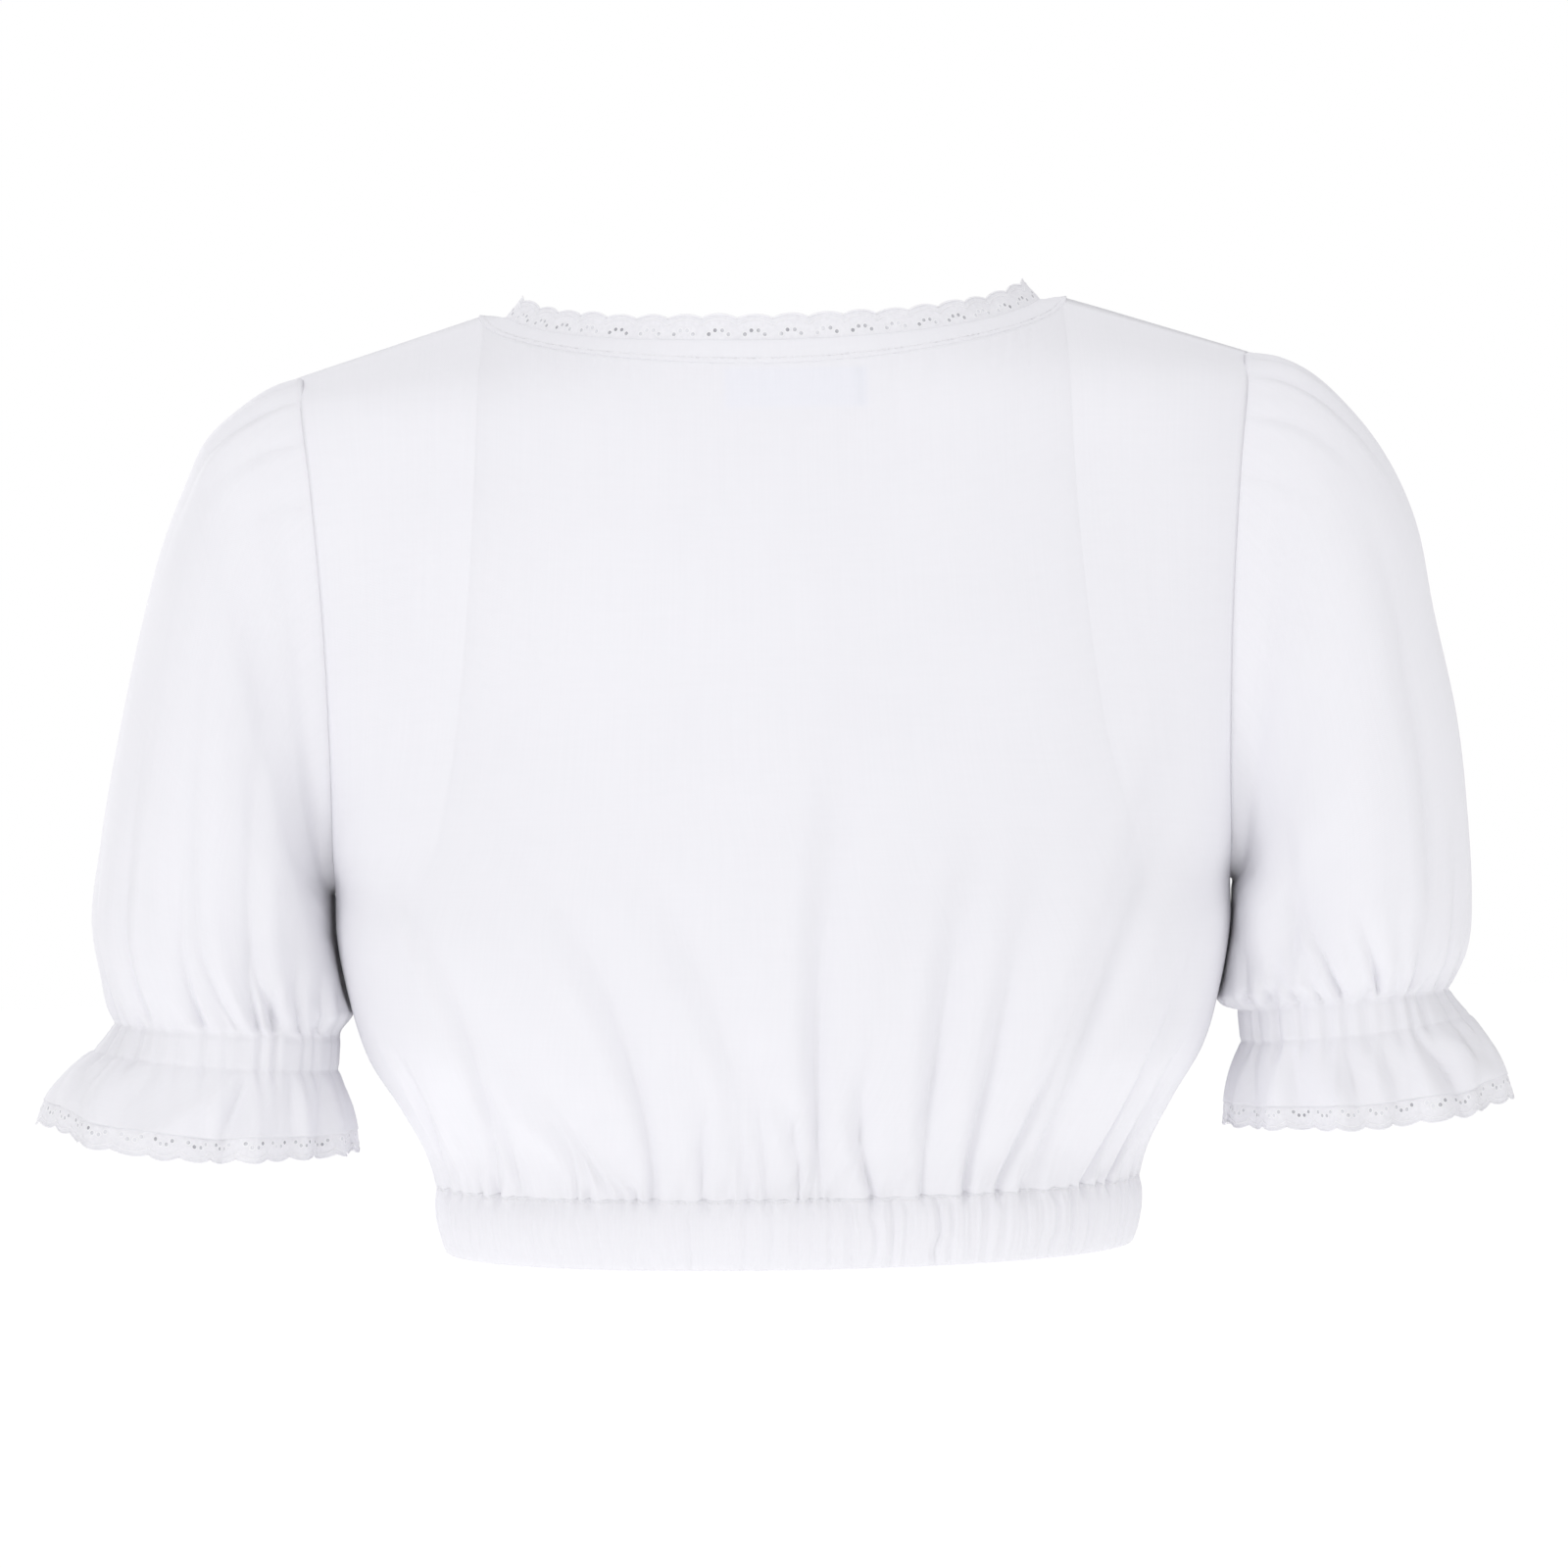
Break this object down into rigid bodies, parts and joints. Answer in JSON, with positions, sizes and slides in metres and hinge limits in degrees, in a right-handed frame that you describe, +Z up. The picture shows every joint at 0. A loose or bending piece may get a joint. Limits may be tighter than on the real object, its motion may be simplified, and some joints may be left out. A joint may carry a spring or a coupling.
{
  "type": "dirndl blouse",
  "caption": "Cropped white cotton dirndl blouse with puffed, ruffled half sleeves, an elasticated hem and scalloped eyelet lace round a wide scoop neck, in its worn form.",
  "frame": {"origin": "midway between the neck ends of the two shoulder seams, where the shoulders of a wearer or a form carry the blouse", "axes": "+Z up; the front faces -Y and the back +Y; +X is the wearer's left"},
  "size_m": [0.6133, 0.2469, 0.3996],
  "materials": {
    "cotton": "matt plain-weave cotton, optical white",
    "lace": "matt embroidered cotton eyelet lace",
    "label": "blank satin-woven ribbon"
  },
  "bodies": {
    "root": {"back": "cotton", "front": "cotton", "sleeve_left": "cotton", "sleeve_right": "cotton", "hem_casing": "cotton", "neck_binding": "cotton", "neck_lace": "lace", "cuff_lace_left": "lace", "cuff_lace_right": "lace", "neck_label": "label"}
  },
  "joints": []
}
